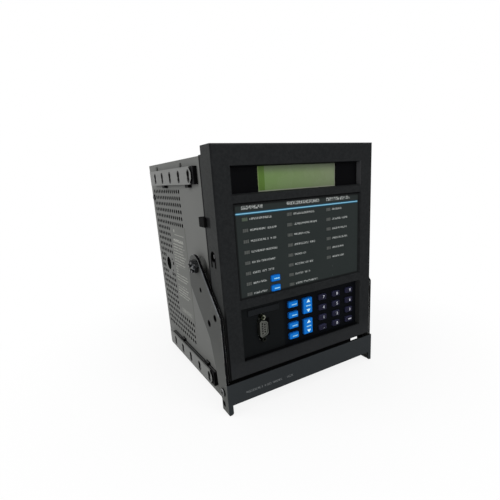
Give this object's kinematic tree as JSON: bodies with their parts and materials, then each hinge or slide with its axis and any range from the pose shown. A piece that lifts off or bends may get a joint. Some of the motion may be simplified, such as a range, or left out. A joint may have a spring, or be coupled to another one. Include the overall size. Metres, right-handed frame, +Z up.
{
  "type": "protection relay",
  "caption": "Drawout protection relay unit: boxy perforated steel chassis, black bezel with display, indicator panel and keypad, guide rails and a swinging U-shaped locking handle.",
  "frame": {"origin": "centre of the bounding box's footprint, on the table under the chassis floor", "axes": "+Z up, the keypad and display face -Y, the rear plugs face +Y, +X is to the right when looking at the keypad"},
  "size_m": [0.2248, 0.24, 0.2765],
  "materials": {
    "bezel_plastic": "fine-grained black moulding",
    "mask_plastic": "smooth black",
    "lcd": "unlit reflective liquid crystal",
    "module_steel": "plated sheet",
    "overlay_film": "textured printed film",
    "light_guide": "milky diffuser",
    "keypad_plastic": "satin black",
    "circuit_board": "green solder mask",
    "blue_key": "satin blue",
    "dark_key": "satin violet black",
    "port_metal": "tinned steel",
    "insulator": "black moulding",
    "handle_paint": "blue black paint",
    "arm_paint": "grey black paint",
    "hardware": "plated steel",
    "nut_steel": "blackened steel",
    "stop_rubber": "black",
    "chassis_paint": "satin dark grey paint",
    "rail_steel": "dark plated strip",
    "runner_plastic": "black slide moulding",
    "contact_metal": "tinned brass",
    "relay_case": "black sealed case",
    "transformer_core": "varnished laminations"
  },
  "bodies": {
    "chassis": {"front_bezel": "bezel_plastic", "display_mask": "mask_plastic", "lcd_glass": "lcd", "lcd_frame": "module_steel", "status_overlay": "overlay_film", "light_guide_left": "light_guide", "light_guide_middle": "light_guide", "light_guide_right": "light_guide", "keypad_plate": "keypad_plastic", "front_board": "circuit_board", "port_shell": "port_metal", "port_insulator": "insulator", "port_jack_screws": "port_metal", "port_cover_plate": "keypad_plastic", "pivot_studs": "hardware", "pivot_caps": "nut_steel", "handle_stop_left": "stop_rubber", "handle_stop_right": "stop_rubber", "side_plate_left": "chassis_paint", "side_plate_right": "chassis_paint", "roof_plate": "chassis_paint", "floor_pan": "chassis_paint", "rear_panel": "chassis_paint", "rail_upper_left": "rail_steel", "rail_lower_left": "rail_steel", "rail_upper_right": "rail_steel", "rail_lower_right": "rail_steel", "rail_runners": "runner_plastic", "chassis_screws": "hardware", "roof_rivets": "chassis_paint", "rear_plugs": "insulator", "plug_blades": "contact_metal", "main_board": "circuit_board", "output_relays": "relay_case", "power_board": "circuit_board", "current_transformers": "transformer_core"},
    "handle": {"handle_bar": "handle_paint", "handle_arm_left": "arm_paint", "handle_arm_right": "arm_paint", "handle_screws": "hardware"},
    "reset_key": {"reset_key": "blue_key"},
    "next_key": {"next_key": "blue_key"},
    "command_key_1": {"command_key_1": "blue_key"},
    "command_key_2": {"command_key_2": "blue_key"},
    "command_key_3": {"command_key_3": "blue_key"},
    "command_key_4": {"command_key_4": "blue_key"},
    "key_7": {"key_7": "dark_key"},
    "key_8": {"key_8": "dark_key"},
    "key_9": {"key_9": "dark_key"},
    "key_4": {"key_4": "dark_key"},
    "key_5": {"key_5": "dark_key"},
    "key_6": {"key_6": "dark_key"},
    "key_1": {"key_1": "dark_key"},
    "key_2": {"key_2": "dark_key"},
    "key_3": {"key_3": "dark_key"},
    "key_point": {"key_point": "dark_key"},
    "key_0": {"key_0": "dark_key"},
    "key_help": {"key_help": "dark_key"},
    "message_rocker": {"message_rocker": "blue_key"},
    "value_rocker": {"value_rocker": "blue_key"}
  },
  "joints": [
    {"name": "handle_swing", "type": "hinge", "parent": "chassis", "child": "handle", "pos_m": [0, -0.0655, 0.1565], "axis": [-1, 0, 0], "range_deg": [0, 92]},
    {"name": "reset_key_press", "type": "slide", "parent": "chassis", "child": "reset_key", "axis": [0, 1, 0], "range_m": [0, 0.001], "stiffness_N_per_m": 600, "springref_m": -0.0005},
    {"name": "next_key_press", "type": "slide", "parent": "chassis", "child": "next_key", "axis": [0, 1, 0], "range_m": [0, 0.001], "stiffness_N_per_m": 600, "springref_m": -0.0005},
    {"name": "command_key_1_press", "type": "slide", "parent": "chassis", "child": "command_key_1", "axis": [0, 1, 0], "range_m": [0, 0.001], "stiffness_N_per_m": 600, "springref_m": -0.0005},
    {"name": "command_key_2_press", "type": "slide", "parent": "chassis", "child": "command_key_2", "axis": [0, 1, 0], "range_m": [0, 0.001], "stiffness_N_per_m": 600, "springref_m": -0.0005},
    {"name": "command_key_3_press", "type": "slide", "parent": "chassis", "child": "command_key_3", "axis": [0, 1, 0], "range_m": [0, 0.001], "stiffness_N_per_m": 600, "springref_m": -0.0005},
    {"name": "command_key_4_press", "type": "slide", "parent": "chassis", "child": "command_key_4", "axis": [0, 1, 0], "range_m": [0, 0.001], "stiffness_N_per_m": 600, "springref_m": -0.0005},
    {"name": "key_7_press", "type": "slide", "parent": "chassis", "child": "key_7", "axis": [0, 1, 0], "range_m": [0, 0.001], "stiffness_N_per_m": 600, "springref_m": -0.0005},
    {"name": "key_8_press", "type": "slide", "parent": "chassis", "child": "key_8", "axis": [0, 1, 0], "range_m": [0, 0.001], "stiffness_N_per_m": 600, "springref_m": -0.0005},
    {"name": "key_9_press", "type": "slide", "parent": "chassis", "child": "key_9", "axis": [0, 1, 0], "range_m": [0, 0.001], "stiffness_N_per_m": 600, "springref_m": -0.0005},
    {"name": "key_4_press", "type": "slide", "parent": "chassis", "child": "key_4", "axis": [0, 1, 0], "range_m": [0, 0.001], "stiffness_N_per_m": 600, "springref_m": -0.0005},
    {"name": "key_5_press", "type": "slide", "parent": "chassis", "child": "key_5", "axis": [0, 1, 0], "range_m": [0, 0.001], "stiffness_N_per_m": 600, "springref_m": -0.0005},
    {"name": "key_6_press", "type": "slide", "parent": "chassis", "child": "key_6", "axis": [0, 1, 0], "range_m": [0, 0.001], "stiffness_N_per_m": 600, "springref_m": -0.0005},
    {"name": "key_1_press", "type": "slide", "parent": "chassis", "child": "key_1", "axis": [0, 1, 0], "range_m": [0, 0.001], "stiffness_N_per_m": 600, "springref_m": -0.0005},
    {"name": "key_2_press", "type": "slide", "parent": "chassis", "child": "key_2", "axis": [0, 1, 0], "range_m": [0, 0.001], "stiffness_N_per_m": 600, "springref_m": -0.0005},
    {"name": "key_3_press", "type": "slide", "parent": "chassis", "child": "key_3", "axis": [0, 1, 0], "range_m": [0, 0.001], "stiffness_N_per_m": 600, "springref_m": -0.0005},
    {"name": "key_point_press", "type": "slide", "parent": "chassis", "child": "key_point", "axis": [0, 1, 0], "range_m": [0, 0.001], "stiffness_N_per_m": 600, "springref_m": -0.0005},
    {"name": "key_0_press", "type": "slide", "parent": "chassis", "child": "key_0", "axis": [0, 1, 0], "range_m": [0, 0.001], "stiffness_N_per_m": 600, "springref_m": -0.0005},
    {"name": "key_help_press", "type": "slide", "parent": "chassis", "child": "key_help", "axis": [0, 1, 0], "range_m": [0, 0.001], "stiffness_N_per_m": 600, "springref_m": -0.0005},
    {"name": "message_rocker_tilt", "type": "hinge", "parent": "chassis", "child": "message_rocker", "pos_m": [0.0048, -0.1101, 0.0992], "axis": [1, 0, 0], "range_deg": [-3, 3], "stiffness_Nm_per_rad": 0.3},
    {"name": "value_rocker_tilt", "type": "hinge", "parent": "chassis", "child": "value_rocker", "pos_m": [0.0048, -0.1101, 0.0738], "axis": [1, 0, 0], "range_deg": [-3, 3], "stiffness_Nm_per_rad": 0.3}
  ]
}
